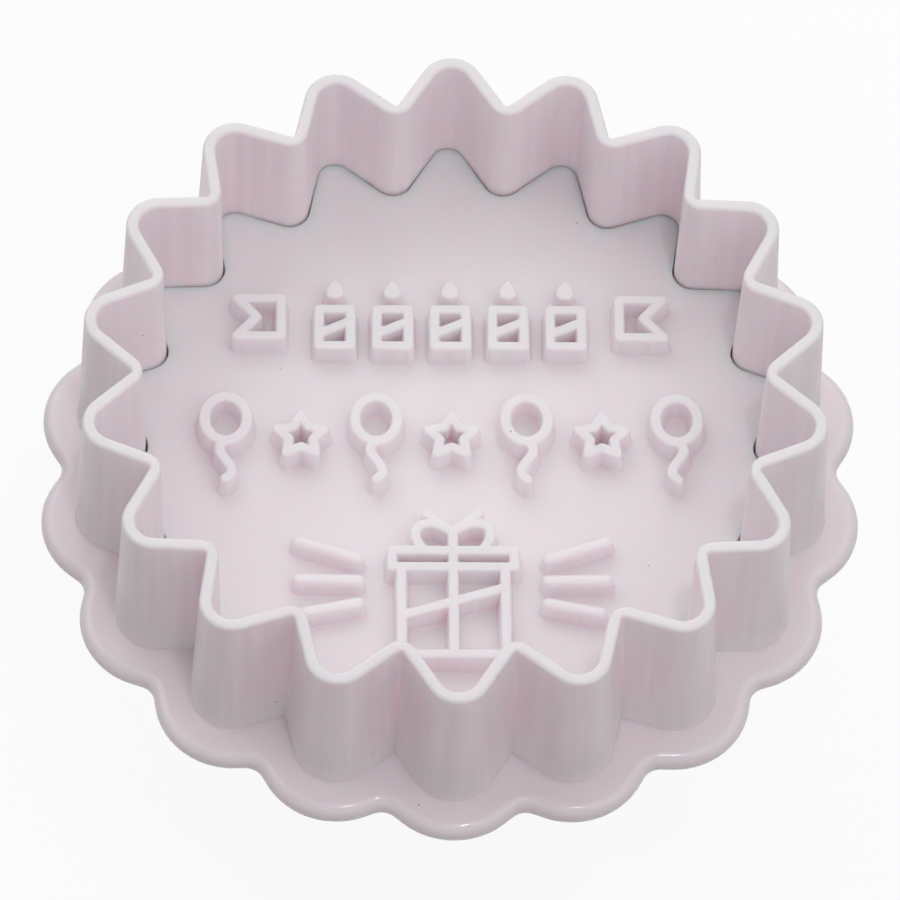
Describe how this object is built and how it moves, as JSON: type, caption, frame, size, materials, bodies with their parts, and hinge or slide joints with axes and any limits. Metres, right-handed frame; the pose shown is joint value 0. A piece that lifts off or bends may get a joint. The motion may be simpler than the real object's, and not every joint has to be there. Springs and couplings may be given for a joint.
{
  "type": "pastry stamp",
  "caption": "Round zigzag pastry cutter with a spring-loaded embossing plate: press the knob and the plate slides up the cutting wall, stamps the dough and pushes it out.",
  "frame": {"origin": "middle of the knob's flat foot, on the surface that the stamp stands on", "axes": "+Z along the plunger, from the knob towards the cutting edge; +X along the picture's rows, -Y towards the picture's lower edge"},
  "size_m": [0.0774, 0.0784, 0.0502],
  "materials": {
    "stamp_plastic": "satin moulded plastic, pale lilac pink",
    "bright_steel": "bright drawn wire"
  },
  "bodies": {
    "cutter": {"cutter_ring": "stamp_plastic", "return_spring": "bright_steel"},
    "plunger": {"emboss_plate": "stamp_plastic", "push_knob": "stamp_plastic", "knob_cap": "stamp_plastic", "plunger_screw": "bright_steel"}
  },
  "joints": [
    {"name": "plunge", "type": "slide", "parent": "cutter", "child": "plunger", "axis": [0, 0, 1], "range_m": [0, 0.012], "stiffness_N_per_m": 500, "springref_m": -0.004, "deforming": ["return_spring"]}
  ]
}
